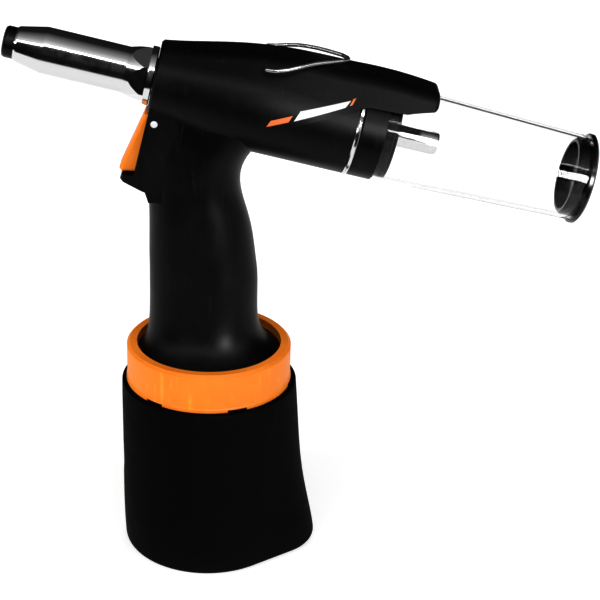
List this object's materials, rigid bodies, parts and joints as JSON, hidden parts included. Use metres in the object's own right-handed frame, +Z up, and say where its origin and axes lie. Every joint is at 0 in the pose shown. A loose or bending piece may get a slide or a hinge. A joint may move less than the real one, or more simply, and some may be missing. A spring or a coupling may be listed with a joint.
{
  "type": "pneumatic blind rivet gun",
  "caption": "Upright pneumatic-hydraulic blind rivet gun with tilted barrel, trigger, clear spent-mandrel bottle and rubber foot.",
  "frame": {"origin": "centre of the air cylinder's axis on the boot's sole", "axes": "+Z up along the air cylinder, -X towards the nose, +Y to the tool's right side where the air inlet is"},
  "size_m": [0.2806, 0.0874, 0.2704],
  "materials": {
    "housing_plastic": "satin, finely textured black moulding",
    "orange_plastic": "satin orange moulding",
    "boot_rubber": "matte black rubber",
    "polished_chrome": "polished",
    "black_steel": "blackened steel, oiled",
    "hardened_steel": "ground",
    "spring_steel": "drawn wire",
    "machined_aluminium": "machined",
    "brass": "machined",
    "seal_rubber": "matte",
    "adapter_plastic": "satin black moulding",
    "cap_plastic": "glossy black moulding",
    "clear_plastic": "clear polycarbonate, glossy",
    "pilot_nylon": "satin blue nylon"
  },
  "bodies": {
    "housing": {"air_cylinder": "machined_aluminium", "base_boot": "boot_rubber", "bottle_seal": "seal_rubber", "collector_adapter": "adapter_plastic", "cylinder_head": "machined_aluminium", "front_rod_seal": "seal_rubber", "head_body": "machined_aluminium", "housing_left": "housing_plastic", "housing_right": "housing_plastic", "housing_screws": "black_steel", "hydraulic_tube": "machined_aluminium", "inlet_socket": "brass", "lock_ring": "orange_plastic", "nose_sleeve": "polished_chrome", "nosepiece": "black_steel", "outlet_tube": "polished_chrome", "pilot_tube": "pilot_nylon", "plunger_seal": "seal_rubber", "rear_gland": "machined_aluminium", "retaining_ring": "polished_chrome", "return_spring": "spring_steel", "trigger_pin": "hardened_steel", "tube_nut": "hardened_steel", "valve_body": "brass", "valve_spring": "spring_steel"},
    "pulling_head": {"pull_piston": "hardened_steel", "pull_piston_seal": "seal_rubber", "jaw_case": "black_steel", "jaw_spring": "spring_steel"},
    "jaw_1_body": {"jaw_1": "hardened_steel"},
    "jaw_2_body": {"jaw_2": "hardened_steel"},
    "jaw_3_body": {"jaw_3": "hardened_steel"},
    "pusher": {"jaw_pusher": "brass"},
    "trigger_lever": {"trigger": "orange_plastic"},
    "valve_stem": {"valve_pin": "hardened_steel"},
    "air_piston_group": {"air_piston": "machined_aluminium", "air_piston_seal": "seal_rubber", "plunger": "hardened_steel"},
    "bottle": {"collector_bottle": "clear_plastic"},
    "cap": {"bottle_cap": "cap_plastic"},
    "bail": {"hanging_bail": "spring_steel"},
    "swivel": {"inlet_swivel": "hardened_steel", "inlet_plug": "hardened_steel"}
  },
  "joints": [
    {"name": "trigger_hinge", "type": "hinge", "parent": "housing", "child": "trigger_lever", "pos_m": [-0.0258, 0, 0.2291], "axis": [0, -1, 0], "range_deg": [0, 10], "stiffness_Nm_per_rad": 0.9, "springref_deg": -8.59},
    {"name": "valve_stem_slide", "type": "slide", "parent": "housing", "child": "valve_stem", "axis": [1, 0, 0], "range_m": [0, 0.0032], "deforming": ["valve_spring"]},
    {"name": "air_piston_slide", "type": "slide", "parent": "housing", "child": "air_piston_group", "axis": [0, 0, 1], "range_m": [0, 0.048]},
    {"name": "pull_slide", "type": "slide", "parent": "housing", "child": "pulling_head", "axis": [0.9763, 0, -0.2164], "range_m": [0, 0.0137], "deforming": ["return_spring"]},
    {"name": "pusher_slide", "type": "slide", "parent": "pulling_head", "child": "pusher", "axis": [-0.9763, 0, 0.2164], "range_m": [0, 0.0013], "deforming": ["jaw_spring"]},
    {"name": "jaw_1_slide", "type": "slide", "parent": "pulling_head", "child": "jaw_1_body", "axis": [-0.999, 0, 0.0436], "range_m": [0, 0.0013]},
    {"name": "jaw_2_slide", "type": "slide", "parent": "pulling_head", "child": "jaw_2_body", "axis": [-0.9427, 0.1504, 0.2979], "range_m": [0, 0.0013]},
    {"name": "jaw_3_slide", "type": "slide", "parent": "pulling_head", "child": "jaw_3_body", "axis": [-0.9427, -0.1504, 0.2979], "range_m": [0, 0.0013]},
    {"name": "bottle_slide", "type": "slide", "parent": "housing", "child": "bottle", "axis": [0.9763, 0, -0.2164], "range_m": [0, 0.03]},
    {"name": "cap_slide", "type": "slide", "parent": "bottle", "child": "cap", "axis": [0.9763, 0, -0.2164], "range_m": [0, 0.01]},
    {"name": "bail_hinge", "type": "hinge", "parent": "housing", "child": "bail", "pos_m": [0.02567, 0, 0.25873], "axis": [0, -1, 0], "range_deg": [0, 100]},
    {"name": "swivel_hinge", "type": "hinge", "parent": "housing", "child": "swivel", "pos_m": [-0.004, 0.0223, 0.1215], "axis": [0, 1, 0], "continuous": true}
  ],
  "couplings": [
    {"joint": "valve_stem_slide", "follows": "trigger_hinge", "m_per_rad": 0.0171},
    {"joint": "pull_slide", "follows": "air_piston_slide", "ratio": 0.2812},
    {"joint": "pusher_slide", "follows": "air_piston_slide", "ratio": 0.025},
    {"joint": "jaw_1_slide", "follows": "air_piston_slide", "ratio": 0.025386},
    {"joint": "jaw_2_slide", "follows": "air_piston_slide", "ratio": 0.025386},
    {"joint": "jaw_3_slide", "follows": "air_piston_slide", "ratio": 0.025386}
  ]
}
